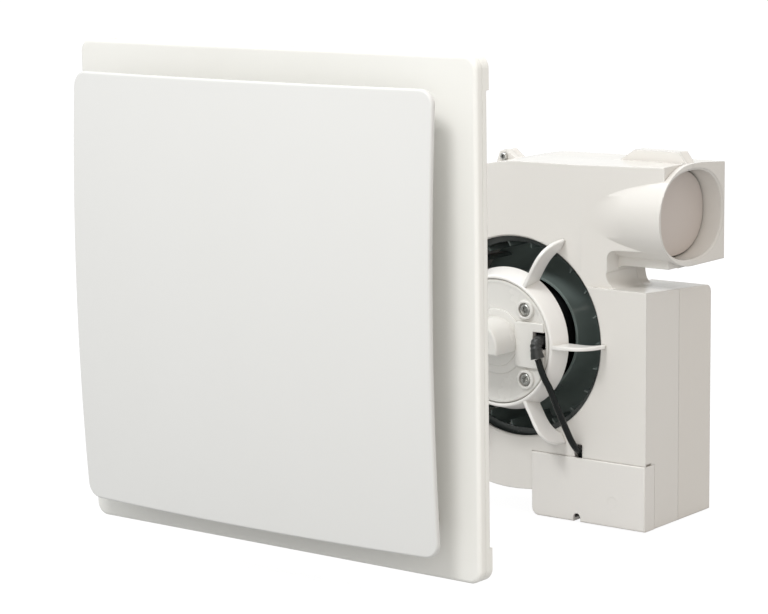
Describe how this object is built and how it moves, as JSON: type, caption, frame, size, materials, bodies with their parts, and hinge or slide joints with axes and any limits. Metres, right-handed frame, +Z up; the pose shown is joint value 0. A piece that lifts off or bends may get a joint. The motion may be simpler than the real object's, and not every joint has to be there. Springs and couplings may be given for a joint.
{
  "type": "bathroom extractor fan",
  "caption": "Flush bathroom extractor fan: white scroll housing with a central motor and side outlet, terminal box, and a square cushioned facade pulled forward.",
  "frame": {"origin": "where the impeller's axis meets the flat rear plane of the unit", "axes": "-Y out of the front of the unit towards the room, +X the way the outlet blows, +Z up"},
  "size_m": [0.3, 0.3009, 0.3113],
  "materials": {
    "facade_white": "satin white moulded plastic",
    "housing_white": "semi-gloss warm white ABS",
    "moulding_white": "semi-gloss white moulded plastic",
    "impeller_grey": "dark green-grey moulded plastic",
    "black_plastic": "gloss black",
    "black_rubber": "smooth black PVC and rubber",
    "zinc_screws": "zinc plated",
    "bright_steel": "bright ground steel",
    "core_steel": "laminated electrical steel",
    "copper_winding": "enamelled copper wire",
    "circuit_board": "green laminate",
    "filter_fabric": "open grey filter mat"
  },
  "bodies": {
    "unit": {"bearing_front": "bright_steel", "bearing_rear": "bright_steel", "board_capacitor": "black_plastic", "cable_boot": "black_rubber", "clamp_screw_1": "zinc_screws", "clamp_screw_2": "zinc_screws", "control_board": "circuit_board", "cord_clamp": "black_plastic", "entry_grommet": "black_rubber", "flap_pin": "bright_steel", "housing_screw_1": "zinc_screws", "housing_screw_2": "zinc_screws", "housing_screw_3": "zinc_screws", "hub_cover": "moulding_white", "hub_screw_1": "zinc_screws", "hub_screw_2": "zinc_screws", "hub_screw_3": "zinc_screws", "hub_screw_4": "zinc_screws", "motor_can": "black_plastic", "motor_carrier": "moulding_white", "motor_end_plate": "core_steel", "motor_lead": "black_rubber", "stator_core": "core_steel", "stator_winding_front": "copper_winding", "stator_winding_rear": "copper_winding", "terminal_block": "black_plastic", "volute_front": "housing_white", "volute_rear": "housing_white"},
    "impeller": {"impeller": "impeller_grey", "motor_shaft": "bright_steel", "rotor_core": "core_steel", "impeller_clip": "bright_steel"},
    "flap": {"non_return_flap": "housing_white"},
    "lid": {"terminal_lid": "housing_white"},
    "facade": {"facade_frame": "facade_white", "facade_spider": "moulding_white", "plate_clip_1": "bright_steel", "plate_clip_2": "bright_steel", "plate_clip_3": "bright_steel", "plate_clip_4": "bright_steel", "spider_screw_1": "zinc_screws", "spider_screw_2": "zinc_screws", "spider_screw_3": "zinc_screws", "spider_screw_4": "zinc_screws"},
    "plate": {"facade_plate": "facade_white"},
    "filter": {"filter_frame": "moulding_white", "filter_mat": "filter_fabric"}
  },
  "joints": [
    {"name": "impeller_spin", "type": "hinge", "parent": "unit", "child": "impeller", "pos_m": [0, -0.045, 0], "axis": [0, 1, 0], "continuous": true},
    {"name": "flap_swing", "type": "hinge", "parent": "unit", "child": "flap", "pos_m": [0.09, -0.0334, 0.0813], "axis": [0, 0, 1], "range_deg": [0, 50]},
    {"name": "lid_pull", "type": "slide", "parent": "unit", "child": "lid", "axis": [0, -1, 0], "range_m": [0, 0.018]},
    {"name": "facade_fit", "type": "slide", "parent": "unit", "child": "facade", "axis": [0, 1, 0], "range_m": [0, 0.16]},
    {"name": "plate_pull", "type": "slide", "parent": "facade", "child": "plate", "axis": [0, -1, 0], "range_m": [0, 0.018]},
    {"name": "filter_lift", "type": "slide", "parent": "facade", "child": "filter", "axis": [0, -1, 0], "range_m": [0, 0.006]}
  ]
}
